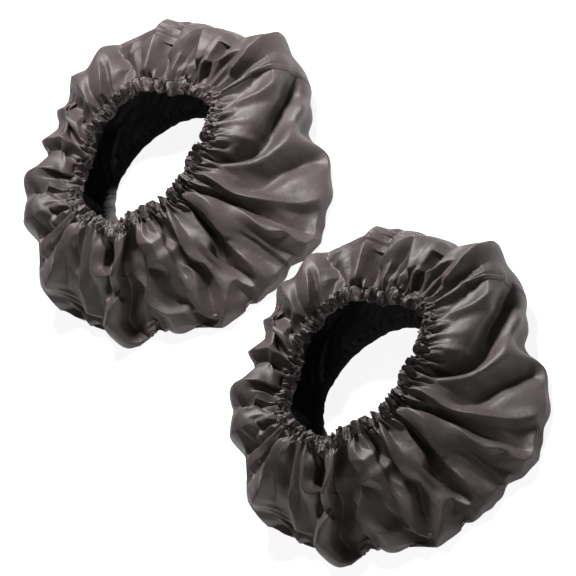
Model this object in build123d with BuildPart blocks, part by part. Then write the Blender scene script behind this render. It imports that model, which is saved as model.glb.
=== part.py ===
"""Set of two elasticated tyre covers for a caravan or trailer wheel, lying slack on a flat surface.

Each cover is one strip of coated taffeta, 2050 long and 480 wide between its hems, sewn into a ring. Both
long edges are turned over into hems, and an elastic band runs in each hem and gathers it, so that the strip
wraps round a tyre up to 650 across: over the tread and in over both sidewalls. The strip is divided here
where it folds, into the front sidewall, the tread wall, the back sidewall and the two hems. The seam that
closes the ring crosses all of them.

Frame: origin on the floor, midway between the covers. +Z is up, along the axis of each wheel opening.
+Y runs from cover 2 to cover 1. Units are millimetres.
"""

from build123d import *
from math import hypot, sqrt
import os

# How one cover lies when nothing is in it.
OUTER_RADIUS = 318.0
OPENING_RADIUS = 150.0
LYING_HEIGHT = 150.0
OPENING_SHIFT_X = -15.0  # the openings lie off the middle of the slack tread: to the left, and behind it
OPENING_SHIFT_Y = 68.0
PUFF_HEIGHT = 20.0  # how far the slack front sidewall stands above its hem
COVER_PITCH = 787.0

# Cloth, as the thickness that its crumpled layers take up.
CLOTH = 2.0
GAP = 0.5  # between cloth that moves and cloth that stays
TOUCH_GAP = 0.1

# Hem: a tunnel of turned-over cloth with the elastic inside.
HEM_WIDTH = 22.0
HEM_HEIGHT = 8.0
HEM_CORNER = 1.5
TUNNEL_WIDTH = 18.0
TUNNEL_HEIGHT = 4.0
HEM_MIDDLE = OPENING_RADIUS + HEM_WIDTH / 2
HEM_OUTER = OPENING_RADIUS + HEM_WIDTH

# Elastic: one woven band, its ends lapped and sewn across.
BAND_WIDTH = 15.0
BAND_THICKNESS = 1.2
LAP_LENGTH = 26.0
LAP_ANGLE = LAP_LENGTH / HEM_MIDDLE * 57.2958
BAR_COUNT = 4
BAR_WIDTH = 1.0
BAR_HEIGHT = 0.5
BAR_LENGTH = BAND_WIDTH - 2.0

# Sewing thread, and the seam that closes the ring: the strip's two ends, turned in and sewn together.
THREAD_RADIUS = 0.4
THREAD_INSET = 2.5
SEAM_WIDTH = 10.0
SEAM_THICKNESS = 1.2

# Heights and radii that follow from these.
FRONT_HEM_Z = LYING_HEIGHT - HEM_HEIGHT / 2
BACK_HEM_Z = HEM_HEIGHT / 2
# Both sidewalls are level as far as this, because the hems join them there.
FLAT_RADIUS = HEM_OUTER + hypot(OPENING_SHIFT_X, OPENING_SHIFT_Y) + 1.0
CREST_RADIUS = FLAT_RADIUS + 30.0
FRONT_EDGE_RADIUS = OUTER_RADIUS - 4.5
BACK_EDGE_RADIUS = OUTER_RADIUS - 4.2
SHOULDER_Z = LYING_HEIGHT - 28.0
TREAD_BULGE = 2.0
SEAM_START = OPENING_SHIFT_X + sqrt(HEM_OUTER**2 - OPENING_SHIFT_Y**2) + 2.0
SEAM_END = FRONT_EDGE_RADIUS - 6.0


def upright_plane(x, y):
    """The vertical plane through (x, y): its own x runs along +X and its own y runs up."""
    return Plane(origin=(x, y, 0), x_dir=(1, 0, 0), z_dir=(0, -1, 0))


def front_profile(drop, start=0.0, end=FRONT_EDGE_RADIUS):
    """The line of the front sidewall from start to end, as points of radius and height, lowered by drop."""
    level = FRONT_HEM_Z + CLOTH / 2 - drop
    crest = level + PUFF_HEIGHT
    shoulder = SHOULDER_Z + CLOTH - drop
    slope = (crest - shoulder) / (FRONT_EDGE_RADIUS - CREST_RADIUS)
    return [
        (start, level),
        (FLAT_RADIUS, level),
        (CREST_RADIUS, crest),
        (end, crest - slope * (end - CREST_RADIUS)),
    ]


def back_profile(rise, start=0.0, end=BACK_EDGE_RADIUS):
    """The line of the back sidewall's underside from start to end, raised by rise."""
    level = BACK_HEM_Z - CLOTH / 2 + rise
    return [(start, level), (FLAT_RADIUS, level), (CREST_RADIUS, rise), (end, rise)]


def tread_profile(inset, low, high):
    """The line of the tread wall, bulging outwards between its two ends, moved inwards by inset."""
    radius = OUTER_RADIUS - TREAD_BULGE - inset
    return [(radius, low), (radius + TREAD_BULGE, (low + high) / 2), (radius, high)]


def export_piece(piece, name):
    piece.label = name
    export_step(piece, f"parts/{name}.step")


def build_front_sidewall(name, x, y):
    """Upper face of the sleeve: level round the opening, a slack crest, then down to the shoulder."""
    with BuildPart() as sidewall:
        with BuildSketch(upright_plane(x, y)):
            with BuildLine():
                top = Polyline(*front_profile(0))
                underside = Polyline(*front_profile(CLOTH))
                Line(top @ 0, underside @ 0)
                Line(top @ 1, underside @ 1)
            make_face()
        revolve(axis=Axis((x, y, 0), (0, 0, 1)))
        with BuildSketch(Plane((x + OPENING_SHIFT_X, y + OPENING_SHIFT_Y, 0))):
            Circle(HEM_OUTER)
        extrude(amount=2 * LYING_HEIGHT, mode=Mode.SUBTRACT)
    export_piece(sidewall.part, name)


def build_back_sidewall(name, x, y):
    """Lower face of the sleeve, lying on the floor."""
    with BuildPart() as sidewall:
        with BuildSketch(upright_plane(x, y)):
            with BuildLine():
                underside = Polyline(*back_profile(0))
                top = Polyline(*back_profile(CLOTH))
                Line(top @ 0, underside @ 0)
                Line(top @ 1, underside @ 1)
            make_face()
        revolve(axis=Axis((x, y, 0), (0, 0, 1)))
        with BuildSketch(Plane((x + OPENING_SHIFT_X, y + OPENING_SHIFT_Y, 0))):
            Circle(HEM_OUTER)
        extrude(amount=LYING_HEIGHT, mode=Mode.SUBTRACT)
    export_piece(sidewall.part, name)


def build_tread_wall(name, x, y):
    """Outer wall of the sleeve, from the floor to the shoulder."""
    with BuildPart() as tread:
        with BuildSketch(upright_plane(x, y)):
            with BuildLine():
                outside = ThreePointArc(*tread_profile(0, 0, SHOULDER_Z - GAP))
                inside = ThreePointArc(*tread_profile(CLOTH, 0, SHOULDER_Z - GAP))
                Line(outside @ 0, inside @ 0)
                Line(outside @ 1, inside @ 1)
            make_face()
        revolve(axis=Axis((x, y, 0), (0, 0, 1)))
    export_piece(tread.part, name)


def build_hem(name, x, y, middle_z):
    """Turned-over edge of the strip: a flat tunnel round the opening."""
    with BuildPart() as hem:
        with BuildSketch(upright_plane(x, y)):
            with Locations((HEM_MIDDLE, middle_z)):
                RectangleRounded(HEM_WIDTH, HEM_HEIGHT, HEM_CORNER)
                RectangleRounded(TUNNEL_WIDTH, TUNNEL_HEIGHT, HEM_CORNER, mode=Mode.SUBTRACT)
        revolve(axis=Axis((x, y, 0), (0, 0, 1)))
    export_piece(hem.part, name)


def build_elastic(name, x, y, middle_z):
    """Elastic band closed into a loop, with one end lapped on top of the other."""
    with BuildPart() as band:
        with BuildSketch(Plane((x, y, middle_z - BAND_THICKNESS))):
            Circle(HEM_MIDDLE + BAND_WIDTH / 2)
            Circle(HEM_MIDDLE - BAND_WIDTH / 2, mode=Mode.SUBTRACT)
        extrude(amount=BAND_THICKNESS)
        with BuildSketch(upright_plane(x, y)):
            with Locations((HEM_MIDDLE, middle_z + BAND_THICKNESS / 2)):
                Rectangle(BAND_WIDTH, BAND_THICKNESS)
        revolve(axis=Axis((x, y, 0), (0, 0, 1)), revolution_arc=LAP_ANGLE)
    export_piece(band.part, name)


def build_elastic_join(name, x, y, middle_z):
    """Bars of thread sewn across the lapped ends of the elastic."""
    with BuildPart() as join:
        with BuildSketch(Plane((x, y, middle_z + BAND_THICKNESS))):
            with PolarLocations(
                HEM_MIDDLE, BAR_COUNT, start_angle=LAP_ANGLE / 8, angular_range=LAP_ANGLE
            ):
                Rectangle(BAR_LENGTH, BAR_WIDTH)
        extrude(amount=BAR_HEIGHT)
    export_piece(join.part, name)


def build_hem_thread(name, x, y, face_z):
    """Row of stitching that closes the hem's tunnel, lying on the hem's upper face."""
    with BuildPart() as thread:
        with BuildSketch(upright_plane(x, y)):
            with Locations((HEM_OUTER - THREAD_INSET, face_z + THREAD_RADIUS)):
                Circle(THREAD_RADIUS)
        revolve(axis=Axis((x, y, 0), (0, 0, 1)))
    export_piece(thread.part, name)


def build_seam(name, x, y, face, inner):
    """Turned-in ends of the strip along the cloth's inner face, between the lines face and inner."""
    with BuildPart() as seam:
        with BuildSketch(upright_plane(x, y)):
            Polygon(*face, *reversed(inner), align=None)
        extrude(amount=SEAM_WIDTH / 2, both=True)
    export_piece(seam.part, name)


def build_cover(cover, x, y):
    """All pieces of one cover, with the tread's middle at (x, y)."""
    opening_x = x + OPENING_SHIFT_X
    opening_y = y + OPENING_SHIFT_Y
    build_front_sidewall(f"{cover}_front_sidewall", x, y)
    build_back_sidewall(f"{cover}_back_sidewall", x, y)
    build_tread_wall(f"{cover}_tread_wall", x, y)
    for side, middle_z in (("front", FRONT_HEM_Z), ("back", BACK_HEM_Z)):
        build_hem(f"{cover}_{side}_hem", opening_x, opening_y, middle_z)
        build_elastic(f"{cover}_{side}_elastic", opening_x, opening_y, middle_z)
        build_elastic_join(f"{cover}_{side}_elastic_join", opening_x, opening_y, middle_z)
        build_hem_thread(f"{cover}_{side}_hem_thread", opening_x, opening_y, middle_z + HEM_HEIGHT / 2)

    under = CLOTH + TOUCH_GAP
    build_seam(
        f"{cover}_front_seam",
        x,
        y,
        front_profile(under, SEAM_START, SEAM_END),
        front_profile(under + SEAM_THICKNESS, SEAM_START, SEAM_END),
    )
    build_seam(
        f"{cover}_back_seam",
        x,
        y,
        back_profile(under, SEAM_START, SEAM_END),
        back_profile(under + SEAM_THICKNESS, SEAM_START, SEAM_END),
    )
    tread_low, tread_high = 2 * CLOTH + SEAM_THICKNESS, SHOULDER_Z - 2 * CLOTH
    build_seam(
        f"{cover}_tread_seam",
        x,
        y,
        tread_profile(under + TREAD_BULGE, tread_low, tread_high)[::2],
        tread_profile(under + TREAD_BULGE + SEAM_THICKNESS, tread_low, tread_high)[::2],
    )


os.makedirs("parts", exist_ok=True)
for cover, side in (("cover1", 1), ("cover2", -1)):
    build_cover(cover, 0.0, side * COVER_PITCH / 2)
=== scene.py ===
"""Two elasticated tyre covers lying slack: gathered taffeta sleeves with a soft studio setting."""

import itertools
import math

import bpy
import numpy as np
from mathutils import Matrix, Vector


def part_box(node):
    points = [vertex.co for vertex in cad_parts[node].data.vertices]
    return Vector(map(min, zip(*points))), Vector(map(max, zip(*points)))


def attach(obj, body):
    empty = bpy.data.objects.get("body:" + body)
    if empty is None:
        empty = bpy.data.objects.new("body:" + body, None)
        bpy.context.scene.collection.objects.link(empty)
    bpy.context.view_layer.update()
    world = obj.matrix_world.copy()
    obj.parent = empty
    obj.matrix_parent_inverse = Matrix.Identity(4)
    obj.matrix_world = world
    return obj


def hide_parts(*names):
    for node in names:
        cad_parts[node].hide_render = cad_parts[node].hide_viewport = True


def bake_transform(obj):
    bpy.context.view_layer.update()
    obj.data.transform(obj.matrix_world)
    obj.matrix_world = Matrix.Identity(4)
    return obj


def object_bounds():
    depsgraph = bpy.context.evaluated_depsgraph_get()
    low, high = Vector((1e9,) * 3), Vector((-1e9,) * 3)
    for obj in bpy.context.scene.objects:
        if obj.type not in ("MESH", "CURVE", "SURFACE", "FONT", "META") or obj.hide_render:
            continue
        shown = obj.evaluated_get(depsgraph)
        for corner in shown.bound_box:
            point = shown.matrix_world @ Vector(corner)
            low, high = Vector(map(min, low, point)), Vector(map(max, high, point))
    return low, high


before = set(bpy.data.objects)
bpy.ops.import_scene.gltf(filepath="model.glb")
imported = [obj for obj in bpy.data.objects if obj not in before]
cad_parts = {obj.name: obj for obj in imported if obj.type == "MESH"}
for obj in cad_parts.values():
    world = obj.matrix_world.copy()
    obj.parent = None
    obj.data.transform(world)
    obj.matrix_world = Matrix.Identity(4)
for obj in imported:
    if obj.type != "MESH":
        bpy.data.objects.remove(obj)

cad_box = [list(corner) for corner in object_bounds()]
scene = bpy.context.scene

# The frame: where the covers and their hems are. Metres.
COVERS = ("cover1", "cover2")
FLOOR_Z = cad_box[0][2]


def box_middle(node):
    low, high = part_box(node)
    return (Vector(low) + Vector(high)) / 2


def box_radius(node):
    low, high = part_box(node)
    return (high[0] - low[0]) / 2


CENTRES = {cover: box_middle(f"{cover}_tread_wall") for cover in COVERS}
HEM_OFFSET = box_middle("cover1_front_hem") - CENTRES["cover1"]
FRONT_HEM_Z = box_middle("cover1_front_hem").z
BACK_HEM_Z = box_middle("cover1_back_hem").z
HEM_RADIUS = box_radius("cover1_front_hem")  # of the stitching, where the hem meets the sleeve
FLOOR_GAP = 0.0005  # between the floor and the lowest cloth

# The hems: flattened tubes that puff between their gathers.
HEM_WIDTH = 0.026
HEM_THIN = 0.0010  # half the thickness where a hem is pinched
HEM_PUFF = 0.0085  # how much more that half is where it puffs
HEM_WOBBLE = 0.003  # how far the stitched edges wander from their rings
HEM_LEAN = math.radians(15)  # of the front hem, downwards all round
HEM_RISE = math.radians(45)  # of the front hem, upwards on the near side and downwards on the far side
BACK_PUFFING = 0.15  # the back hem lies nearly flat
HEM_COLUMNS = 1600
HEM_ROWS = 20
STITCH_ROW = 2  # of the hem's rows, where the stitches run
THREAD_RADIUS = 0.0004
ELASTIC_WIDTH = 0.006
ELASTIC_THICKNESS = 0.0008
JOIN_BARS = 3

# The strip of cloth before it is gathered.
STRIP_LENGTH = 2.15
STRIP_WIDTH = 0.46  # on the side that stands, as the folds below are drawn
CLOTH_THICKNESS = 0.0006
COLUMNS = 400  # of the middle grid. The first has half as many, the last twice as many
ROWS = 80
FINE_ROW = STRIP_WIDTH / (2 * ROWS)
GATHERS = 92
GATHER_HEIGHT = 0.0050
NEAR_SLACK = 1.04  # how much longer than its path from hem to hem the cloth is
FAR_SLACK = 1.13
START_WOBBLE = 0.003
LID_Z = FRONT_HEM_Z + 0.022
LID_GIVE = 0.010

# The closing seam: its rise above the cloth, its depth in it, and its pieces by shares of the strip.
SEAM_RISE = 0.0008
SEAM_SINK = 0.0002
SEAM_SPLITS = {"front": (0.02, 0.42), "tread": (0.42, 0.62), "back": (0.62, 0.98)}

# Pleats that run out from the hems: how many round the ring, height, where they start and their reach.
PLEATS = (
    (61, 0.0060, 0.012, 0.022),
    (37, 0.0080, 0.018, 0.036),
)

# Random creases of the middle grid and of the last: seed, how many there are of each wave, and slope.
BROAD_CREASES = (21, (19, 29, 41, 57), 0.13)
FINE_CREASES = (22, (61, 83, 117), 0.10)
CREASE_ZONE = 0.05  # how far from a hem they reach their full height

# The cloth solver.
WEIGHT = 1e-6  # how far the cloth falls in each step, faster by as much at every step
KEPT_SPEED = 0.96  # share of its speed that the cloth keeps from step to step
SLANTED = 0.35  # strength of the diagonal links, next to 1 for those along the yarns
OVERSHOOT = 1.25  # how much further than their links ask the points move
SHORTEST = 0.45  # share of its real length that the cloth keeps at least
LYING = 0.003  # height under which the floor holds the cloth

# Colours and surfaces.
CLOTH_TINTS = ((0.058, 0.043, 0.042), (0.076, 0.057, 0.056))
CLOTH_ROUGHNESS = (0.48, 0.60)
COATING_TINTS = ((0.050, 0.046, 0.045), (0.070, 0.064, 0.063))
COATING_ROUGHNESS = (0.72, 0.86)
YARN_PITCH = 0.0005
THREAD_TINT = (0.060, 0.048, 0.047)
THREAD_PITCH = 0.0004
RUBBER_TINT = (0.035, 0.033, 0.033)
RUBBER_PITCH = 0.0010


# ------------------------------ shape of the slack sleeve

def smooth(t):
    t = np.clip(t, 0.0, 1.0)
    return t * t * (3 - 2 * t)


def ring_angles(columns):
    """The angles of evenly spaced columns round the ring."""
    return 2 * math.pi * np.arange(columns) / columns


def hem_distance(rows):
    """How far each row of the strip is from the nearer hem."""
    v = np.linspace(0, 1, rows + 1)
    return np.minimum(v, 1 - v) * STRIP_WIDTH


def noise_ring(rng, angle, harmonics, decay=0.5):
    """Periodic noise of about unit size over angle, from the given harmonics."""
    total = np.zeros_like(angle)
    for h in harmonics:
        total += rng.normal() * h ** -decay * np.cos(h * angle + rng.uniform(0, 2 * math.pi))
    return total / np.sqrt(sum(h ** (-2 * decay) for h in harmonics) / 2)


# Angles run from +X towards +Y, so 90 degrees is the far side and 270 the near one.
NEAR = math.radians(-105.0)
FAN = 0.25  # how far the folds of the near side spread sideways from hem to outline
SMOOTH_PANEL = math.radians(-32.0)  # the middle of the one big smooth panel
PANEL_HALF = 0.36  # radians of it on each side, and how far it takes to fade
PANEL_FADE = 0.30
VALLEY = math.radians(-146.0)  # the middle of the deep valley, where the strip is bunched
VALLEY_SPREAD = math.radians(15.0)
VALLEY_BUNCH = 0.40

# Outline of the slack sleeve: angle in degrees, radius and height of the widest part in millimetres.
OUTLINE = (
    (-168, 294, 6), (-154, 299, 6), (-139, 266, 6), (-119, 299, 6),
    (-93, 290, 6), (-81, 286, 6), (-73, 314, 6), (-55, 290, 8),
    (-36, 272, 12), (-20, 246, 20), (-8, 250, 30), (-5, 254, 44),
    (-1, 284, 58), (9, 304, 80), (13, 318, 88), (18, 292, 96),
    (27, 274, 112), (47, 328, 130), (56, 332, 132), (66, 346, 132),
    (81, 338, 132), (95, 336, 126), (101, 312, 120), (108, 300, 118),
    (113, 314, 115), (120, 294, 108), (130, 304, 90), (141, 308, 60),
    (150, 302, 42), (157, 316, 30), (167, 326, 16), (175, 314, 8),
)

# How the hem leaves its circle: angle in degrees, millimetres inwards and millimetres down.
FRONT_HEM_SHAPE = (
    (-165, 9, 0), (-140, 0, 0), (-110, 4, -6), (-90, 8, -6), (-64, 16, -6),
    (-45, 10, -4), (-25, 0, 0), (0, 4, 2), (26, 20, 8), (60, 4, 2),
    (84, -2, 4), (112, 12, 20), (135, 14, 26), (158, 6, 16),
)
BACK_HEM_SHAPE = (
    (-90, 0, 0), (20, -4, 0), (60, -22, 0), (110, -12, 0), (150, 10, 0),
)

# Crests and valleys of the folds, listed one by one. Each has the points it passes, as an angle in degrees
# round the strip and a share of its width from the front hem, then its height and how far its two slopes
# reach, in millimetres: first the slope on the side of smaller angles, then the other.
FOLDS = (
    # right side, from the ear down to the big smooth panel
    (((8, .14), (11, .32), (12, .47)), 17, 16, 11),
    (((13, .42), (13, .46)), 22, 20, 14),
    (((4, .04), (4, .20), (5, .34)), -12, 10, 12),
    (((1, .08), (1, .25), (2, .42)), 10, 12, 10),
    (((-2, .20), (-1, .30), (2, .40)), -10, 12, 12),
    (((-12, .10), (-10, .24), (-5, .36)), 12, 18, 16),
    (((-17, .02), (-17, .08)), 8, 8, 8),
    (((-50, .08), (-41, .20), (-31, .29), (-18, .39), (-6, .48)), -32, 14, 34),
    (((-52, .12), (-44, .22), (-35, .31), (-24, .40), (-13, .48)), 13, 34, 11),
    (((-32, .03), (-32, .12), (-34, .22)), 7, 9, 9),
    (((-36, .01), (-36, .06)), 10, 8, 8),
    (((-55, .02), (-59, .08)), 11, 9, 10),
    (((-64, .18), (-58, .26), (-47, .34), (-41, .43), (-38, .50)), -14, 26, 36),
    # near side, between the smooth panel and the deep valley
    (((-66, .03), (-68, .12), (-69, .22), (-67, .31), (-63, .40), (-58, .50)), 12, 12, 16),
    (((-74, .06), (-74, .20), (-72, .36), (-69, .51)), -13, 14, 10),
    (((-75, .38), (-74, .53)), 8, 12, 10),
    (((-83, .05), (-79, .14), (-77, .22), (-77, .32), (-77, .40)), 12, 12, 10),
    (((-84, .12), (-88, .24), (-92, .34), (-94, .44)), 15, 16, 32),
    (((-89, .04), (-91, .14), (-94, .26), (-97, .34)), -13, 13, 12),
    (((-99, .28), (-99, .36), (-97, .44)), -15, 18, 18),
    (((-94, .03), (-96, .10), (-98, .17), (-99, .24)), 17, 11, 11),
    (((-100, .03), (-101, .10), (-103, .18), (-105, .25)), -14, 8, 9),
    (((-104, .03), (-105, .12), (-107, .19), (-108, .27)), 19, 12, 12),
    (((-110, .02), (-110, .12), (-112, .20)), -14, 10, 10),
    (((-109, .27), (-111, .35), (-114, .45), (-116, .54)), -16, 14, 20),
    (((-113, .28), (-115, .36), (-118, .48)), 9, 14, 14),
    (((-116, .56), (-110, .49), (-104, .42)), 10, 16, 20),
    (((-127, .01), (-127, .09), (-122, .13), (-117, .09), (-116, .01)), 13, 8, 8),
    (((-122, .01), (-122, .08)), -9, 8, 8),
    (((-131, .14), (-124, .16)), -12, 8, 8),
    (((-132, .20), (-125, .21), (-119, .19), (-110, .14)), 12, 10, 12),
    (((-131, .25), (-123, .26)), -13, 12, 12),
    (((-119, .28), (-121, .36), (-123, .43)), -9, 9, 9),
    (((-139, .30), (-138, .37), (-134, .44), (-129, .48), (-123, .46)), 10, 12, 12),
    # the deep valley, and the pouch on its left
    (((-136, .02), (-140, .12), (-143, .22), (-147, .32), (-151, .42), (-151, .52)), -44, 18, 20),
    (((-146, .41), (-146, .52)), 9, 10, 12),
    (((-138, .03), (-142, .13), (-145, .20), (-150, .28), (-156, .36), (-159, .46)), 22, 34, 14),
    (((-128, .12), (-131, .22), (-136, .34), (-140, .46)), 14, 14, 26),
    (((-150, .01), (-149, .08)), 10, 9, 9),
    (((-163, .01), (-163, .07)), 11, 8, 8),
    (((-160, .09), (-163, .17)), -15, 13, 13),
    (((-169, .06), (-169, .20)), 9, 8, 8),
    (((-146, .19), (-161, .215), (-168, .22)), 13, 26, 22),
    (((179, .02), (178, .08)), 10, 8, 8),
    (((178, .14), (180, .24)), -12, 12, 12),
    (((173, .04), (172, .15), (170, .28), (168, .42)), 15, 12, 13),
    (((166, .06), (163, .20), (161, .36)), -13, 10, 12),
    # left side, where the sleeve puffs over the hem
    (((157, .05), (155, .16), (152, .30)), -15, 14, 12),
    (((147, .05), (145, .20), (143, .44)), 8, 30, 28),
    (((140, .02), (137, .10), (135, .28)), -15, 12, 14),
    (((122, .04), (124, .15), (129, .30), (133, .42)), 14, 11, 44),
    (((116, .03), (117, .18), (121, .36)), -17, 14, 12),
    (((112, .03), (113, .15), (115, .32)), 13, 12, 12),
    (((110, .15), (104, .20)), 9, 12, 12),
    (((107, .04), (107, .12)), -10, 12, 12),
    (((101, .05), (101, .20), (102, .36)), 13, 14, 20),
    (((95, .04), (95, .20), (97, .33)), -24, 12, 14),
    (((90, .06), (89, .20), (91, .36)), 15, 22, 10),
    # far side, with the flat pleat, the pocket and the broad panel
    (((82, .05), (80, .20), (78, .32)), 13, 36, 28),
    (((77, .02), (77, .10), (79, .24)), -13, 10, 10),
    (((64, .03), (68, .14), (72, .26)), -12, 10, 20),
    (((57, .04), (56, .22), (56, .38)), 12, 13, 22),
    (((50, .02), (50, .20), (48, .42)), -26, 8, 10),
    (((45, .12), (41, .25), (36, .30), (31, .20), (26, .10)), 16, 11, 12),
    (((38, .10), (37, .21)), -17, 12, 12),
    (((37, .05), (30, .07)), 9, 8, 8),
    (((27, .02), (25, .10)), -12, 10, 10),
    (((23, .10), (26, .30), (29, .48)), 9, 30, 12),
    (((18, .04), (19, .25), (20, .46)), -19, 10, 16),
)
FOLD_SCALE = 1.8  # the folds are drawn this much higher than the cloth keeps them
WIDEST_POINT = 3  # of the points of the cross-section


def profile_points(near, widest):
    """Cross-section of the sleeve from front hem to back hem: share of the way out, and height.
    near is 0 on the far side, which stands, and 1 on the near side, which slopes down to the floor."""
    return (
        (0.0, FRONT_HEM_Z),
        (0.50, FRONT_HEM_Z + 0.012 * (1 - near) - 0.056 * near),
        (0.86, 0.150 * (1 - near) + 0.034 * near),
        (1.0, widest),
        (0.92, 0.022 * (1 - near) + 0.003 * near),
        (0.5, 0.004),
        (0.0, BACK_HEM_Z),
    )


def hem_circle(rng, angle, shape):
    """Uneven ring that the gathered edge follows: radius and height offsets by angle."""
    degrees, inward, down = np.array(shape, float).T
    radius = HEM_RADIUS - 0.001 * np.interp(np.degrees(angle), degrees, inward, period=360)
    rise = -0.001 * np.interp(np.degrees(angle), degrees, down, period=360)
    radius = radius + HEM_WOBBLE * noise_ring(rng, angle, range(4, 14))
    rise = rise + HEM_WOBBLE * noise_ring(rng, angle, range(4, 14))
    return radius, rise


def from_angle(theta, angle):
    """How far round the ring theta is from an angle, between -pi and pi."""
    return (theta - angle + math.pi) % (2 * math.pi) - math.pi


def panel_share(theta):
    """1 on the big smooth panel and 0 away from it."""
    return 1 - smooth((np.abs(from_angle(theta, SMOOTH_PANEL)) - PANEL_HALF) / PANEL_FADE)


def start_surface(columns, rows):
    """The sleeve before it settles, as an array of shape (3, columns, rows + 1)."""
    rng = np.random.default_rng(11)
    theta = ring_angles(columns)
    away = from_angle(theta, VALLEY)
    theta = theta - VALLEY_BUNCH * away * np.exp(-(away / VALLEY_SPREAD) ** 2)
    hem_angle = theta - FAN * np.sin(theta - NEAR)
    v = np.linspace(0, 1, rows + 1)
    near = smooth(0.5 - 0.75 * np.sin(theta + 0.3))
    angle, radius, height = np.array(OUTLINE, float).T
    outline = 0.001 * np.interp(np.degrees(theta), angle, radius, period=360)
    widest = 0.001 * np.interp(np.degrees(theta), angle, height, period=360)
    front_radius, front_rise = hem_circle(rng, hem_angle, FRONT_HEM_SHAPE)
    back_radius, back_rise = hem_circle(rng, hem_angle, BACK_HEM_SHAPE)

    out = np.stack([outline * np.cos(theta), outline * np.sin(theta)])
    centre = np.array([HEM_OFFSET.x, HEM_OFFSET.y])[:, None]
    direction = np.stack([np.cos(hem_angle), np.sin(hem_angle)])
    front = centre + front_radius * direction
    back = centre + back_radius * direction

    surface = np.zeros((3, columns, rows + 1))
    for i in range(columns):
        points = np.array(profile_points(near[i], widest[i]))
        share, level = points[:, 0], points[:, 1].copy()
        level[0] += front_rise[i]
        level[-1] += max(back_rise[i], -0.001)
        start = np.where(np.arange(len(share))[:, None] <= WIDEST_POINT, front[:, i], back[:, i])
        plan = start + share[:, None] * (out[:, i] - start)
        line = np.column_stack([plan, level])
        travelled = np.r_[0, np.cumsum(np.linalg.norm(np.diff(line, axis=0), axis=1))]
        travelled /= travelled[-1]
        for axis in range(3):
            surface[axis, i] = np.interp(v, travelled, line[:, axis])
    kernel = np.array([1, 2, 3, 2, 1]) / 9
    for _ in range(max(1, rows // 16)):
        ends = surface[:, :, :1].repeat(2, 2), surface[:, :, -1:].repeat(2, 2)
        padded = np.concatenate([ends[0], surface, ends[1]], axis=2)
        blurred = sum(k * padded[:, :, n:n + rows + 1] for n, k in enumerate(kernel))
        surface[:, :, 1:-1] = blurred[:, :, 1:-1]

    offset = np.zeros((columns, rows + 1))
    for _ in range(8):
        around = noise_ring(rng, theta, range(5, 20))
        across = np.cos(2 * math.pi * (v * rng.uniform(0.3, 1.6) + rng.uniform()))
        offset += START_WOBBLE * np.outer(around, across) * smooth(v / 0.1) * smooth((1 - v) / 0.1)
    return surface + offset * normals(surface)


def slack_width(surface):
    """How wide the cloth is at each column: just enough on the near side, and slack on the far side."""
    theta = ring_angles(surface.shape[1])
    path = np.linalg.norm(np.diff(surface, axis=2), axis=0).sum(1)
    far = smooth(0.5 + 0.9 * np.sin(theta - 0.25))
    return path * (NEAR_SLACK + (FAR_SLACK - NEAR_SLACK) * far)


def tent(theta, across, points, reach):
    """A ridge of unit height with a sharp crest along the points. Its slopes reach the two distances."""
    around = (np.degrees(theta) - points[0][0] + 180) % 360 - 180 + points[0][0]
    x = (around * STRIP_LENGTH / 360)[:, None]
    y = across[None, :]
    nearest = np.full((len(theta), len(across)), np.inf)
    ridge = np.zeros_like(nearest)
    for (angle_a, share_a), (angle_b, share_b) in zip(points[:-1], points[1:]):
        ax, ay = angle_a * STRIP_LENGTH / 360, share_a * STRIP_WIDTH
        bx, by = angle_b * STRIP_LENGTH / 360, share_b * STRIP_WIDTH
        length = math.hypot(bx - ax, by - ay)
        tx, ty = (bx - ax) / length, (by - ay) / length
        along = np.clip((x - ax) * tx + (y - ay) * ty, 0, length)
        dx, dy = x - ax - along * tx, y - ay - along * ty
        distance = np.hypot(dx, dy)
        side = np.where(dx * ty - dy * tx < 0, reach[0], reach[1])
        closer = distance < nearest
        nearest = np.where(closer, distance, nearest)
        ridge = np.where(closer, np.maximum(0, 1 - distance / side), ridge)
    return ridge


def fold(surface):
    """Adds the listed folds. Every fold is gone right at the hem, which holds its own line."""
    columns, rows = surface.shape[1], surface.shape[2] - 1
    theta = ring_angles(columns)
    across = np.linspace(0, STRIP_WIDTH, rows + 1)
    offset = np.zeros((columns, rows + 1))
    for points, height, before, after in FOLDS:
        offset += 0.001 * FOLD_SCALE * height * tent(theta, across, points, (0.001 * before, 0.001 * after))
    return surface + offset * smooth(0.2 + across / 0.02) * (across > 0) * smooth_normals(surface)


def noise_sheet(rng, theta, v, waves, count=7):
    """Smooth noise of about unit size, with up to the given waves round the strip and across it."""
    total = np.zeros((len(theta), len(v)))
    for _ in range(count):
        around = rng.integers(1, waves[0] + 1) * theta[:, None]
        across = rng.uniform(-1, 1) * 2 * math.pi * waves[1] * v
        total += np.cos(around + across + rng.uniform(0, 2 * math.pi))
    return total / math.sqrt(count / 2)


def crumple(surface, seed, counts, steep):
    """Adds flat facets between sharp creases: folded waves in several directions that come and go. Counts
    are how many creases of each wave there are round the ring, and steep is the slope of the facets."""
    columns, rows = surface.shape[1], surface.shape[2] - 1
    rng = np.random.default_rng(seed)
    theta = ring_angles(columns)
    v = np.linspace(0, 1, rows + 1)
    offset = np.zeros((columns, rows + 1))
    for count in counts:
        across = rng.uniform(-0.6, 0.6) * count * STRIP_WIDTH / STRIP_LENGTH
        wander = 0.30 * noise_sheet(rng, theta, v, (9, 1.5))
        turns = count * theta[:, None] / (2 * math.pi) + across * v + wander
        folded = np.abs(4 * (turns - np.floor(turns)) - 2) - 1
        mask = smooth(0.45 + 0.7 * noise_sheet(rng, theta, v, (14, 2.0)))
        offset += folded * mask * steep * STRIP_LENGTH / count / 4
    quiet = 1 - 0.85 * panel_share(theta)[:, None]
    return surface + offset * quiet * smooth(hem_distance(rows) / CREASE_ZONE) * normals(surface)


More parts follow.
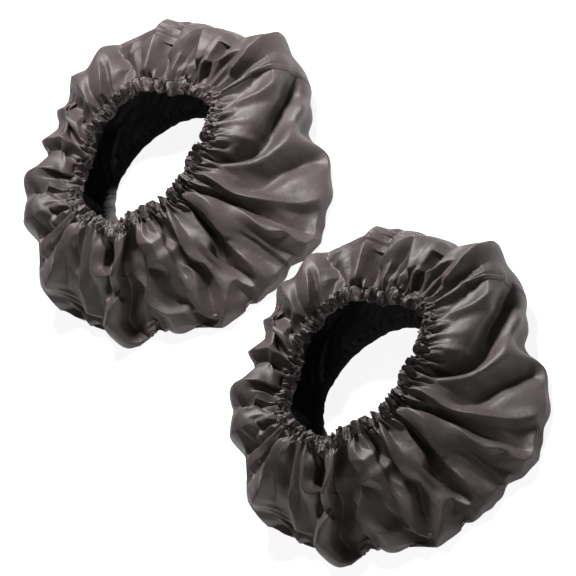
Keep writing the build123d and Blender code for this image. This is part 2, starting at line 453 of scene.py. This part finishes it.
def unit(vectors):
    return vectors / np.maximum(np.linalg.norm(vectors, axis=0), 1e-9)


def smooth_normals(surface):
    """Outward normals averaged over neighbours, for moving the cloth without tangling it."""
    out = normals(surface)
    for _ in range(3):
        out = (np.roll(out, 1, axis=1) + out + np.roll(out, -1, axis=1)) / 3
        out[:, :, 1:-1] = (out[:, :, :-2] + out[:, :, 1:-1] + out[:, :, 2:]) / 3
    return unit(out)


def normals(surface):
    """Unit outward normals of the sleeve."""
    along = np.roll(surface, -1, axis=1) - np.roll(surface, 1, axis=1)
    return unit(-np.cross(along, np.gradient(surface, axis=2), axis=0))


# ------------------------------ cloth solver

def add_link(push, surface, du, dv, rest, weight, shorter_only=False):
    """Adds to push what brings every pair of points (du, dv) apart nearer to its rest distance."""
    moved = np.roll(surface, -du, axis=1)
    first = (slice(None), slice(None), slice(0, -dv) if dv > 0 else slice(-dv, None))
    second = (slice(None), slice(None), slice(dv, None) if dv >= 0 else slice(0, dv))
    gap = moved[second] - surface[first]
    length = np.sqrt((gap * gap).sum(0))
    share = 1 - rest / np.maximum(length, 1e-6)
    if shorter_only:
        share = np.minimum(share, 0)
    change = gap * (0.5 * weight * share)
    push[first] += change
    back = np.zeros_like(surface)
    back[second] = change
    push -= np.roll(back, du, axis=1)


def close_pairs(points, reach, columns, rows, skip):
    """Pairs of points nearer than reach and more than skip cells apart in the cloth, by boxes of space."""
    boxes = np.floor(points / reach).astype(np.int64) + 1000
    key = (boxes[:, 0] * 4096 + boxes[:, 1]) * 4096 + boxes[:, 2]
    order = np.argsort(key, kind="stable")
    ordered = key[order]
    found = []
    for dx, dy, dz in itertools.product((-1, 0, 1), repeat=3):
        if (dx, dy, dz) < (0, 0, 0):
            continue
        wanted = key + (dx * 4096 + dy) * 4096 + dz
        low = np.searchsorted(ordered, wanted, "left")
        count = np.searchsorted(ordered, wanted, "right") - low
        owner = np.repeat(np.arange(len(points)), count)
        within = np.arange(len(owner)) - np.repeat(np.cumsum(count) - count, count)
        other = order[low[owner] + within]
        if (dx, dy, dz) == (0, 0, 0):
            keep = owner < other
            owner, other = owner[keep], other[keep]
        found.append((owner, other))
    a = np.concatenate([f[0] for f in found])
    b = np.concatenate([f[1] for f in found])
    step_u = np.abs(a // (rows + 1) - b // (rows + 1))
    step_u = np.minimum(step_u, columns - step_u)
    step_v = np.abs(a % (rows + 1) - b % (rows + 1))
    near = ((points[a] - points[b]) ** 2).sum(1) < reach * reach
    keep = near & (np.maximum(step_u, step_v) > skip)
    return a[keep], b[keep]


def part_layers(surface, pairs, thickness):
    """Moves apart layers that are too close. Where points crowd, each moves less, to stay steady."""
    a, b = pairs
    if not len(a):
        return
    flat = surface.reshape(3, -1)
    gap = flat[:, b] - flat[:, a]
    length = np.maximum(np.sqrt((gap * gap).sum(0)), 1e-6)
    change = gap * (0.4 * np.minimum(0, 1 - thickness / length))
    touching = (length < thickness).astype(float)
    crowd = np.bincount(a, touching, flat.shape[1]) + np.bincount(b, touching, flat.shape[1])
    for axis in range(3):
        total = np.bincount(a, change[axis], flat.shape[1]) - np.bincount(b, change[axis], flat.shape[1])
        flat[axis] += total / np.maximum(1, crowd / 3)


def settle(surface, width, steps, hold, bend, puff=0.0, ease=0.0):
    """Lets the cloth find its folds: it keeps its lengths, resists bending, hangs and lies on the floor.
    Hold draws it to where it started, and puff blows it out. Ease is the share of its real length by which
    it may stay shorter where it started short. The smooth panel stays as it started, down to SHORTEST."""
    guide = surface.copy()
    columns, rows = surface.shape[1], surface.shape[2] - 1
    cell_u = STRIP_LENGTH / columns
    old = len(width)
    cell_v = np.interp(np.arange(columns) / columns, np.arange(old) / old, width, period=1)[:, None] / rows
    from_hem = hem_distance(rows)
    # Near the hems the gathers are finer than a coarse grid can hold, so its cells are narrower there.
    narrow_zone = (4 * cell_u - 0.020) / 0.9
    rest_u = cell_u * np.ones((columns, rows + 1))
    if narrow_zone > 0.001:
        ring = 2 * math.pi * (HEM_RADIUS + 0.8 * from_hem) / STRIP_LENGTH
        rest_u *= np.minimum(1.0, ring + (1 - ring) * smooth(from_hem / narrow_zone))
    started = np.linalg.norm(np.roll(guide, -1, axis=1) - guide, axis=0)
    panel = panel_share(ring_angles(columns))[:, None]
    shortest = np.maximum((1 - ease) * (1 - panel), SHORTEST)
    rest_u = np.clip(started, shortest * rest_u, rest_u)
    started = np.linalg.norm(np.diff(guide, axis=2), axis=0)
    shortest = np.maximum((1 - ease / 2) * (1 - panel), SHORTEST)
    rest_v = np.clip(started, shortest * cell_v, cell_v)
    rest_diagonal = np.hypot((rest_u[:, 1:] + rest_u[:, :-1]) / 2, rest_v)
    rest_2v = rest_v[:, 1:] + rest_v[:, :-1]
    rest_4v = rest_2v[:, 2:] + rest_2v[:, :-2]
    after = np.roll(guide, -1, axis=1)
    outward = np.linalg.norm(after[:, :, 1:] - guide[:, :, :-1], axis=0)
    inward = np.linalg.norm(after[:, :, :-1] - guide[:, :, 1:], axis=0)
    sheared = np.maximum(panel, 1.5 * ease)  # how much of the slant that it started with the cloth keeps
    links = (
        (1, 0, rest_u, 1.0),
        (0, 1, rest_v, 1.0),
        (1, 1, rest_diagonal + sheared * (outward - rest_diagonal), SLANTED),
        (1, -1, rest_diagonal + sheared * (inward - rest_diagonal), SLANTED),
    )
    bends = (
        (2, 0, 1.9 * rest_u, bend),
        (0, 2, 0.95 * rest_2v, bend),
        (4, 0, 3.3 * rest_u, bend / 2),
        (0, 4, 0.83 * rest_4v, bend / 2),
    )
    total = sum(link[3] for link in links) + sum(link[3] for link in bends)
    before = surface.copy()
    pinned = surface[:, :, [0, -1]].copy()
    thickness = 0.85 * cell_u
    pairs = None
    for step in range(steps):
        speed = KEPT_SPEED * (surface - before)
        before = surface.copy()
        surface = surface + speed
        surface[2] -= WEIGHT
        surface += puff * normals(surface)
        push = np.zeros_like(surface)
        for du, dv, rest, strength in links:
            add_link(push, surface, du, dv, rest, strength)
        for du, dv, rest, strength in bends:
            add_link(push, surface, du, dv, rest, strength, shorter_only=True)
        surface += push * (OVERSHOOT / total)
        surface += hold * (1 - step / steps) * (guide - surface)
        if step % 25 == 0:
            pairs = close_pairs(surface.reshape(3, -1).T, 2.0 * thickness, columns, rows, 3)
        if step % 2 == 0:
            part_layers(surface, pairs, thickness)
        lying = surface[2] < FLOOR_Z + LYING
        surface[:2] = np.where(lying, before[:2] + 0.1 * (surface[:2] - before[:2]), surface[:2])
        surface[2] = np.maximum(surface[2], FLOOR_Z + 2 * FLOOR_GAP)
        surface[:, :, [0, -1]] = pinned
    return surface


def refine(surface):
    """Twice as many columns and rows, on a smooth curve through the old points."""
    before, after, beyond = (np.roll(surface, n, axis=1) for n in (1, -1, -2))
    middle = (9 * (surface + after) - before - beyond) / 16
    wide = np.empty((3, 2 * surface.shape[1], surface.shape[2]))
    wide[:, 0::2], wide[:, 1::2] = surface, middle
    ends = 2 * wide[:, :, :1] - wide[:, :, 1:2], 2 * wide[:, :, -1:] - wide[:, :, -2:-1]
    padded = np.concatenate([ends[0], wide, ends[1]], axis=2)
    middle = (9 * (padded[:, :, 1:-2] + padded[:, :, 2:-1]) - padded[:, :, :-3] - padded[:, :, 3:]) / 16
    tall = np.empty((3, wide.shape[1], 2 * wide.shape[2] - 1))
    tall[:, :, 0::2], tall[:, :, 1::2] = wide, middle
    return tall


def gather_phase(columns):
    """Phase and size of the fine gathers round a hem, uneven in pitch and in height."""
    rng = np.random.default_rng(5)
    theta = ring_angles(columns)
    phase = GATHERS * theta + 1.5 * noise_ring(rng, theta, range(8, 50), 0.4)
    size = np.clip(1 + 0.45 * noise_ring(rng, theta, range(12, 60), 0.2), 0.25, 2.2)
    return phase, size


def gather(surface):
    """Adds the fine gathers that the elastic draws along both hems."""
    from_hem = hem_distance(surface.shape[2] - 1)
    phase, size = gather_phase(surface.shape[1])
    fade = np.exp(-from_hem / (0.012 * np.clip(size, 0.6, 2.0))[:, None])
    return surface - GATHER_HEIGHT * (size * np.cos(phase))[:, None] * fade * normals(surface)


def pleat(surface):
    """Adds the pleats that run out from the hems, fewer and broader the further out, with sharp crests."""
    columns, rows = surface.shape[1], surface.shape[2] - 1
    rng = np.random.default_rng(31)
    theta = ring_angles(columns)
    v = np.linspace(0, 1, rows + 1)
    from_hem = hem_distance(rows)
    offset = np.zeros((columns, rows + 1))
    for count, height, start, reach in PLEATS:
        drift = 0.22 * noise_sheet(rng, theta, v, (10, 1.2))
        wander = 0.5 * noise_ring(rng, theta, range(4, 30))[:, None]
        turns = count * theta[:, None] / (2 * math.pi) + wander + drift
        folded = 1 - np.abs(4 * (turns - np.floor(turns)) - 2)
        size = np.clip(1 + 0.5 * noise_ring(rng, theta, range(5, 40), 0.2), 0.1, 2)[:, None]
        fade = smooth(from_hem / start) * np.exp(-from_hem / reach / size)
        offset += height * folded * size * fade
    return surface + offset * smooth_normals(surface)


def crease(surface, passes, tolerance):
    """Flattens the panels between the folds and draws what bends there is into sharp creases, by averaging
    each cell's normal with those neighbours that differ by less than about the tolerance."""
    neighbours = [(du, dv) for du in (-2, -1, 0, 1, 2) for dv in (-2, -1, 0, 1, 2) if (du, dv) != (0, 0)]
    columns, rows = surface.shape[1], surface.shape[2] - 1
    keen = 1 - 0.5 * panel_share(ring_angles(columns))[:, None]
    for _ in range(passes):
        after = np.roll(surface, -1, axis=1)
        centre = (surface[:, :, :-1] + surface[:, :, 1:] + after[:, :, :-1] + after[:, :, 1:]) / 4
        diagonals = after[:, :, 1:] - surface[:, :, :-1], surface[:, :, 1:] - after[:, :, :-1]
        face = unit(-np.cross(*diagonals, axis=0))
        for _ in range(3):
            total = face.copy()
            for du, dv in neighbours:
                other = np.roll(face, (du, dv), axis=(1, 2))
                weight = np.exp(-((face - other) ** 2).sum(0) / (2 * tolerance * tolerance))
                weight[:, :max(dv, 0)] = 0
                weight[:, rows + min(dv, 0):] = 0
                total += weight * other
            face = unit(total)
        push = np.zeros_like(surface)
        for du, dv in ((0, 0), (0, 1), (1, 0), (1, 1)):
            corner = np.roll(surface, -du, axis=1)[:, :, dv:rows + dv]
            move = face * (face * (centre - corner)).sum(0)
            push[:, :, dv:rows + dv] += np.roll(move, du, axis=1) / 4
        push[:, :, [0, -1]] = 0
        surface = surface + keen * push
    return surface


def iron(surface, passes):
    """Evens out the big smooth panel along the strip. Near the hems the gathers stay."""
    columns, rows = surface.shape[1], surface.shape[2] - 1
    from_hem = hem_distance(rows)
    share = 0.5 * panel_share(ring_angles(columns))[:, None] * smooth(from_hem / CREASE_ZONE)
    for _ in range(passes):
        around = (np.roll(surface, 1, axis=1) + np.roll(surface, -1, axis=1)) / 2
        surface = surface + share * (around - surface)
    return surface


def untangle(surface, rounds):
    """Evens out the few points where the cloth has folded over itself within a cell."""
    for _ in range(rounds):
        wrong = (smooth_normals(surface) * normals(surface)).sum(0) < 0.55
        around = (np.roll(surface, 1, axis=1) + np.roll(surface, -1, axis=1)) / 4
        around[:, :, 1:-1] += (surface[:, :, :-2] + surface[:, :, 2:]) / 4
        wrong[:, [0, -1]] = False
        surface = np.where(wrong, around, surface)
    return surface


def under_the_lid(surface):
    """Presses down the highest puffs, so that none stands above LID_Z by more than LID_GIVE."""
    over = np.maximum(0, surface[2] - LID_Z)
    surface[2] = np.minimum(surface[2], LID_Z) + over / (1 + over / LID_GIVE)
    return surface


def make_sleeve():
    """The slack sleeve of one cover round the Z axis: an outline, then folds on ever finer grids."""
    surface = start_surface(COLUMNS // 2, ROWS // 2)
    width = slack_width(surface)
    surface = settle(surface, width, 150, hold=0.10, bend=0.04, puff=3e-6, ease=0.08)
    surface = refine(surface)
    surface = fold(surface)
    surface = pleat(surface)
    surface = crumple(surface, *BROAD_CREASES)
    surface = under_the_lid(gather(surface))
    surface = settle(surface, width, 50, hold=0.15, bend=0.04, ease=0.4)
    surface = iron(crease(surface, 6, 0.20), 2)
    surface = refine(surface)
    surface = crumple(surface, *FINE_CREASES)
    surface = settle(surface, width, 50, hold=0.04, bend=0.02, ease=0.4)
    surface = iron(crease(surface, 8, 0.18), 6)
    return on_the_floor(untangle(surface, 8))


# ------------------------------ meshes

def grid_mesh(name, surface, closed_across=False):
    """A mesh from a (3, columns, rows) array. It closes round the ring, and across it if asked."""
    columns, rows = surface.shape[1:]
    index = np.arange(columns * rows).reshape(columns, rows)
    after = np.roll(index, -1, axis=0)
    if closed_across:
        index = np.hstack([index, index[:, :1]])
        after = np.hstack([after, after[:, :1]])
    faces = np.stack([index[:, :-1], index[:, 1:], after[:, 1:], after[:, :-1]], axis=-1).reshape(-1, 4)
    mesh = bpy.data.meshes.new(name)
    mesh.vertices.add(columns * rows)
    mesh.vertices.foreach_set("co", surface.reshape(3, -1).T.reshape(-1).astype(np.float32))
    mesh.loops.add(faces.size)
    mesh.loops.foreach_set("vertex_index", faces.reshape(-1).astype(np.int32))
    mesh.polygons.add(len(faces))
    mesh.polygons.foreach_set("loop_start", np.arange(0, faces.size, 4, dtype=np.int32))
    mesh.update(calc_edges=True)
    mesh.validate()
    mesh.shade_smooth()
    add_weave_map(mesh, columns, index.shape[1])
    return mesh


def add_weave_map(mesh, columns, rows):
    """Cloth coordinates for the weave, in metres along and across the strip."""
    step = STRIP_LENGTH / columns
    along = step * np.arange(columns)[:, None, None] + step * np.array((0, 0, 1, 1))
    across = FINE_ROW * np.arange(rows - 1)[None, :, None] + FINE_ROW * np.array((0, 1, 1, 0))
    places = np.stack(np.broadcast_arrays(along, across), axis=-1).reshape(-1)
    mesh.uv_layers.new(name="weave").uv.foreach_set("vector", places.astype(np.float32))


def bars_mesh(name, bars):
    """One mesh of many closed bars. Each is an array of shape (3, steps, corners) along its line."""
    points, faces = [], []
    for bar in bars:
        steps, corners = bar.shape[1:]
        ring = [[len(points) + i * corners + j for j in range(corners)] for i in range(steps)]
        points += bar.reshape(3, -1).T.tolist()
        for low, high in zip(ring[:-1], ring[1:]):
            faces += [(low[j - 1], low[j], high[j], high[j - 1]) for j in range(corners)]
        faces += [tuple(ring[0][::-1]), tuple(ring[-1])]
    mesh = bpy.data.meshes.new(name)
    mesh.from_pydata(points, [], faces)
    mesh.shade_smooth()
    return mesh


def coated_mesh(name, surface, coated):
    """A tube of cloth whose coated rows have the coating, in the second material slot."""
    mesh = grid_mesh(name, surface, closed_across=True)
    slots = np.zeros(surface.shape[1:], np.int32)
    slots[:, coated] = 1
    mesh.polygons.foreach_set("material_index", slots.reshape(-1))
    return mesh


def lined_mesh(name, surface):
    """The cloth with its real thickness, coated on its inner face."""
    inner = on_the_floor(surface - CLOTH_THICKNESS * smooth_normals(surface))
    both = np.concatenate([surface, inner[:, :, ::-1]], axis=2)
    return coated_mesh(name, both, slice(both.shape[2] // 2, -1))


def add_object(name, data):
    """A new object in the scene."""
    thing = bpy.data.objects.new(name, data)
    scene.collection.objects.link(thing)
    return thing


def add_piece(mesh, materials):
    """A piece with its materials. Faces keep the material number that they already have."""
    piece = add_object(mesh.name, mesh)
    indexes = [polygon.material_index for polygon in mesh.polygons] if len(materials) > 1 else None
    for material in materials:
        mesh.materials.append(material)
    if indexes:
        mesh.polygons.foreach_set("material_index", indexes)
    return piece


# ------------------------------ hems

def hem_line(surface, row):
    """The stitched edge of the sleeve in fine steps, the same edge evened out, and which way is inwards."""
    line = surface[:, :, row]
    columns = line.shape[1]
    fine = np.arange(HEM_COLUMNS) * columns / HEM_COLUMNS
    line = np.stack([np.interp(fine, np.arange(columns), axis, period=columns) for axis in line])
    even = line.copy()
    for _ in range(6):
        even = sum(np.roll(even, n, axis=1) for n in range(-12, 13)) / 25
    centre = np.array([HEM_OFFSET.x, HEM_OFFSET.y])[:, None]
    inward = centre - even[:2]
    inward /= np.linalg.norm(inward, axis=0)
    return line, even, inward


def hem_surface(surface, row, lean, rise, puffing):
    """Turned-over edge round the elastic. It leans down by lean, more on the far side and less on the near
    side by rise. Between the gathers it stands up in thin wandering ridges on both faces, by puffing."""
    line, even, inward = hem_line(surface, row)
    rng = np.random.default_rng(8 + row % 2)
    theta = ring_angles(HEM_COLUMNS)
    angle = np.arctan2(-inward[1], -inward[0])
    slope = -lean - rise * np.sin(angle) + 0.30 * puffing * noise_ring(rng, theta, range(10, 60), 0.3)
    direction = np.stack([inward[0] * np.cos(slope), inward[1] * np.cos(slope), np.sin(slope)])
    up = np.stack([-inward[0] * np.sin(slope), -inward[1] * np.sin(slope), np.cos(slope)])
    sideways = np.stack([-inward[1], inward[0], 0 * slope])
    phase, size = gather_phase(HEM_COLUMNS)
    twist = [noise_ring(rng, theta, range(15, 120), 0.1) for _ in range(6)]
    edge = 0.0010 * puffing * noise_ring(rng, theta, range(20, 90), 0.2)
    rows = []
    for turn in ring_angles(HEM_ROWS):
        share = (1 - math.cos(turn)) / 2  # 0 at the stitching, 1 at the fold
        side = math.sin(turn)
        face = 0 if side >= 0 else 3
        bend = twist[face] * math.sin(2.2 * math.pi * share)
        bend = 1.9 * (bend + twist[face + 1] * math.sin(1.2 * math.pi * share))
        ridge = np.exp(-(np.sin((phase + bend) / 2) / 0.27) ** 2) * size
        ridge = np.maximum(ridge, 0.7 * np.exp(-(np.sin((1.37 * phase - bend) / 2) / 0.22) ** 2))
        bulge = 0.4 + 0.6 * math.sin(math.pi * (0.15 + 0.7 * share))
        puff = HEM_THIN + puffing * HEM_PUFF * ridge * bulge
        reach = share * (HEM_WIDTH + edge)
        keep = math.exp(-share * HEM_WIDTH / 0.006)
        start = even + (line - even) * (keep + 0.35 * puffing * (1 - keep))
        swing = 0.0016 * puffing * math.sin(math.pi * share) * twist[face + 2] * sideways
        rows.append(start + reach * direction + side * puff * up + swing)
    return np.stack(rows, axis=2), direction, up


def flat_band(line, sideways, up, width, thickness):
    """The four corners of a flat band along a line."""
    return np.stack([line + a * width / 2 * sideways + b * thickness / 2 * up
                     for a, b in ((-1, -1), (1, -1), (1, 1), (-1, 1))], axis=2)


def round_bar(line, sideways, up, radius):
    """A round bar along a line, thinner at its two ends where it dips into the cloth."""
    radius = radius * np.sin(np.linspace(0.15, math.pi - 0.15, line.shape[1])) ** 0.5
    return np.stack([line + radius * (math.cos(a) * sideways + math.sin(a) * up)
                     for a in ring_angles(6)], axis=2)


def stitches(line, sideways, up, steps=6, gap=2):
    """A row of machine stitches along a line of points."""
    starts = range(0, line.shape[1] - steps, steps + gap)
    return [round_bar(line[:, n:n + steps], sideways[:, n:n + steps], up[:, n:n + steps], THREAD_RADIUS)
            for n in starts]


def join_bars(line, sideways, up):
    """Bars of thread sewn across the lapped ends of the elastic."""
    across = np.linspace(-0.5, 0.5, 7) * ELASTIC_WIDTH
    bars = []
    for n in 5 * np.arange(JOIN_BARS):
        along = line[:, [n + 1]] - line[:, [n]]
        along /= np.linalg.norm(along)
        middle = line[:, [n]] + across * sideways[:, [n]] + ELASTIC_THICKNESS / 2 * up[:, [n]]
        bars.append(round_bar(middle, along, up[:, [n]], THREAD_RADIUS))
    return bars


def seam_band(surface, shares):
    """The closing seam: a strip of doubled cloth that hugs the sleeve on both sides of its first column."""
    columns, rows = surface.shape[1], surface.shape[2] - 1
    reach = max(1, columns // COLUMNS)
    first, last = (round(share * rows) for share in shares)
    part = (slice(None), slice(0, 2 * reach + 1), slice(first, last + 1))
    near = np.roll(surface, reach, axis=1)[part]
    out = np.roll(smooth_normals(surface), reach, axis=1)[part]
    rise = np.full(2 * reach + 1, SEAM_RISE)
    rise[[0, -1]] = SEAM_RISE / 3
    ring = np.concatenate([near + rise[:, None] * out, (near - SEAM_SINK * out)[:, ::-1]], axis=1)
    return ring.transpose(0, 2, 1)


def on_the_floor(surface):
    """Keeps every point just above the floor."""
    surface[2] = np.maximum(surface[2], FLOOR_Z + FLOOR_GAP)
    return surface


# ------------------------------ materials

def new_material(name):
    """A material, the nodes and the links of its tree, and its shader."""
    material = bpy.data.materials.new(name)
    material.use_nodes = True
    tree = material.node_tree
    return material, tree.nodes, tree.links, tree.nodes["Principled BSDF"]


def put(node, values):
    """Sets inputs of a node by their names."""
    for name, value in values.items():
        node.inputs[name].default_value = value


def bands(nodes, links, place, direction, pitch):
    """Light and dark bands that are pitch metres apart."""
    wave = nodes.new("ShaderNodeTexWave")
    wave.bands_direction = direction
    put(wave, {"Scale": 2 * math.pi / (20 * pitch)})
    links.new(place, wave.inputs["Vector"])
    return wave


def fabric(name, tints, roughness, sheen, creasing):
    """Woven cloth: an uneven tint between two colours, satin or dull, with small creases and a weave whose
    yarns are YARN_PITCH apart. The weave follows the strip, by the map of cloth coordinates."""
    material, nodes, links, shader = new_material(name)
    put(shader, {"Specular IOR Level": 0.5, "Sheen Weight": sheen, "Sheen Roughness": 0.4})
    place = nodes.new("ShaderNodeTexCoord")

    def noise(scale, detail):
        texture = nodes.new("ShaderNodeTexNoise")
        put(texture, {"Scale": scale, "Detail": detail})
        links.new(place.outputs["Object"], texture.inputs["Vector"])
        return texture.outputs["Fac"]

    def bump(height, strength, distance, below=None):
        node = nodes.new("ShaderNodeBump")
        put(node, {"Strength": strength, "Distance": distance})
        links.new(height, node.inputs["Height"])
        if below:
            links.new(below, node.inputs["Normal"])
        return node.outputs["Normal"]

    tint = nodes.new("ShaderNodeValToRGB")
    for stop, position, colour in zip(tint.color_ramp.elements, (0.35, 0.65), tints):
        stop.position = position
        stop.color = (*colour, 1)
    links.new(noise(14, 3), tint.inputs["Fac"])
    links.new(tint.outputs["Color"], shader.inputs["Base Color"])

    gloss = nodes.new("ShaderNodeMapRange")
    put(gloss, {"To Min": roughness[0], "To Max": roughness[1]})
    links.new(noise(40, 4), gloss.inputs["Value"])
    links.new(gloss.outputs["Result"], shader.inputs["Roughness"])

    cloth_place = nodes.new("ShaderNodeUVMap")
    cloth_place.uv_map = "weave"
    weave = nodes.new("ShaderNodeMath")
    weave.operation = "MULTIPLY"
    for n, direction in enumerate("XY"):
        yarns = bands(nodes, links, cloth_place.outputs["UV"], direction, YARN_PITCH)
        links.new(yarns.outputs["Fac"], weave.inputs[n])
    creases = bump(noise(60, 5), creasing, 0.004)
    links.new(bump(weave.outputs["Value"], 0.2, YARN_PITCH / 4, creases), shader.inputs["Normal"])
    return material


def ribbed(name, tint, pitch):
    """Thread or elastic: dull yarn with fine ribs across it, with painted shade in the grooves between the
    ribs.
    """
    material, nodes, links, shader = new_material(name)
    place = nodes.new("ShaderNodeTexCoord")
    wave = bands(nodes, links, place.outputs["Object"], "DIAGONAL", pitch)
    put(wave, {"Distortion": 1.0})
    # Painted shade: the colour falls to 0.7 of the tint where the bump is lowest, in the grooves between
    # the ribs.
    painted_groove_shade = nodes.new("ShaderNodeValToRGB")
    painted_groove_shade.color_ramp.elements[0].color = (*(0.7 * part for part in tint), 1)
    painted_groove_shade.color_ramp.elements[1].color = (*tint, 1)
    links.new(wave.outputs["Fac"], painted_groove_shade.inputs["Fac"])
    links.new(painted_groove_shade.outputs["Color"], shader.inputs["Base Color"])
    bump = nodes.new("ShaderNodeBump")
    put(bump, {"Distance": pitch / 4})
    links.new(wave.outputs["Fac"], bump.inputs["Height"])
    links.new(bump.outputs["Normal"], shader.inputs["Normal"])
    put(shader, {"Roughness": 0.7})
    return material


# ------------------------------ stage, light and camera

def make_stage():
    """A floor that shines by itself, so that it comes out white and keeps only faint shadows."""
    mesh = bpy.data.meshes.new("floor")
    size, height = 40.0, FLOOR_Z - FLOOR_GAP
    corners = [(-size, -size, height), (size, -size, height), (size, size, height), (-size, size, height)]
    mesh.from_pydata(corners, [], [(0, 1, 2, 3)])
    floor = add_object("floor", mesh)
    pale, _, _, shader = new_material("pale_floor")
    put(shader, {"Base Color": (0.45, 0.45, 0.45, 1), "Roughness": 0.9, "Specular IOR Level": 0.0})
    put(shader, {"Emission Color": (1, 1, 1, 1), "Emission Strength": 0.88})
    mesh.materials.append(pale)


def area_light(name, place, size, power):
    light = bpy.data.lights.new(name, "AREA")
    light.shape = "RECTANGLE"
    light.size, light.size_y = size
    light.energy = power
    lamp = add_object(name, light)
    turn = (-Vector(place)).to_track_quat("-Z", "Y").to_matrix().to_4x4()
    lamp.matrix_world = Matrix.Translation(Vector(place)) @ turn


def make_light():
    """A key light from the upper right behind the covers, a weak fill opposite, and a dim white sky."""
    world = bpy.data.worlds.new("studio")
    world.use_nodes = True
    put(world.node_tree.nodes["Background"], {"Color": (1.0, 1.0, 1.0, 1), "Strength": 0.055})
    scene.world = world
    area_light("key", (1.0, 1.0, 2.2), (0.5, 0.5), 130)
    area_light("fill", (-1.2, -1.4, 1.8), (0.8, 0.8), 5)


CAMERA_ELEVATION = math.radians(42)
CAMERA_ROLL = math.radians(44.8)
CAMERA_DISTANCE = 20.0
VIEW_WIDTH = 1.008  # how much the frame's width takes in at the covers
CAMERA_TARGET = Vector((0.0, 0.0, 0.081))


def make_camera():
    """A long lens from the near side, rolled so that the row of covers runs from corner to corner."""
    data = bpy.data.cameras.new("camera")
    data.sensor_width = 36
    data.lens = 36 * CAMERA_DISTANCE / VIEW_WIDTH
    data.clip_start, data.clip_end = 1.0, 200.0
    camera = add_object("camera", data)
    toward = Vector((0, -math.cos(CAMERA_ELEVATION), math.sin(CAMERA_ELEVATION)))
    level_up = Vector((0, math.sin(CAMERA_ELEVATION), math.cos(CAMERA_ELEVATION)))
    level_right = Vector((1, 0, 0))
    right = math.cos(CAMERA_ROLL) * level_right - math.sin(CAMERA_ROLL) * level_up
    up = math.sin(CAMERA_ROLL) * level_right + math.cos(CAMERA_ROLL) * level_up
    turn = Matrix((right, up, toward)).transposed().to_4x4()
    camera.matrix_world = Matrix.Translation(CAMERA_TARGET + CAMERA_DISTANCE * toward) @ turn
    scene.camera = camera


def hem_pieces(cover, side, body, place):
    """One hem of a cover, with the elastic in its tunnel, the elastic's join and the row of stitches."""
    hem, sideways, up = hems[side]
    tunnel = (hem[:, :, HEM_ROWS // 4] + hem[:, :, -(HEM_ROWS // 4)]) / 2
    line = tunnel + place[:, :, 0]
    band = flat_band(line, sideways, up, ELASTIC_WIDTH, ELASTIC_THICKNESS)
    bars = join_bars(line, sideways, up)
    row = stitches(hem[:, :, STITCH_ROW] + place[:, :, 0], sideways, up)
    # The coating is on the face that looks into the sleeve.
    coated = slice(HEM_ROWS // 2, None) if side == "front" else slice(0, HEM_ROWS // 2)
    made = {
        "hem": (coated_mesh(f"{cover}_{side}_gathers", hem + place, coated), (cloth, coating), "taffeta"),
        "elastic": (grid_mesh(f"{cover}_{side}_band", band, closed_across=True), (rubber,), "elastic"),
        "elastic_join": (bars_mesh(f"{cover}_{side}_bars", bars), (thread,), "thread"),
        "hem_thread": (bars_mesh(f"{cover}_{side}_stitches", row), (thread,), "thread"),
    }
    pieces = []
    for node, (mesh, materials, slot) in made.items():
        piece = add_piece(mesh, materials)
        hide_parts(f"{cover}_{side}_{node}")
        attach(piece, f"{cover}_{body}")
        pieces.append(piece)
    return pieces


def sleeve_pieces(cover, place):
    """The sleeve of a cover and its closing seam, whose pieces are split by SEAM_SPLITS."""
    mesh = lined_mesh(f"{cover}_sleeve", sleeve + place)
    body = add_piece(mesh, (cloth, coating))
    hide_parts(f"{cover}_front_sidewall", f"{cover}_tread_wall", f"{cover}_back_sidewall")
    pieces = [body]
    for part, shares in SEAM_SPLITS.items():
        mesh = bars_mesh(f"{cover}_{part}_closing", [seam_band(sleeve + place, shares)])
        mesh.uv_layers.new(name="weave")
        seam = add_piece(mesh, (cloth,))
        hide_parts(f"{cover}_{part}_seam")
        pieces.append(seam)
    for piece in pieces:
        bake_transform(piece)
    return pieces


scene.view_settings.view_transform = "Standard"
make_stage()
make_light()
make_camera()
cloth = fabric("charcoal_taffeta", CLOTH_TINTS, CLOTH_ROUGHNESS, sheen=0.02, creasing=0.35)
coating = fabric("black_coating", COATING_TINTS, COATING_ROUGHNESS, sheen=0.0, creasing=0.50)
thread = ribbed("sewing_thread", THREAD_TINT, THREAD_PITCH)
rubber = ribbed("braided_elastic", RUBBER_TINT, RUBBER_PITCH)
sleeve = make_sleeve()
hems = {
    "front": hem_surface(sleeve, 0, HEM_LEAN, HEM_RISE, 1.0),
    "back": hem_surface(sleeve, -1, 0.0, 0.0, BACK_PUFFING),
}
on_the_floor(hems["back"][0])
for cover in COVERS:
    place = np.array((CENTRES[cover].x, CENTRES[cover].y, 0.0))[:, None, None]
    body, *rest = sleeve_pieces(cover, place)
    rest += hem_pieces(cover, "front", "front", place) + hem_pieces(cover, "back", "base", place)
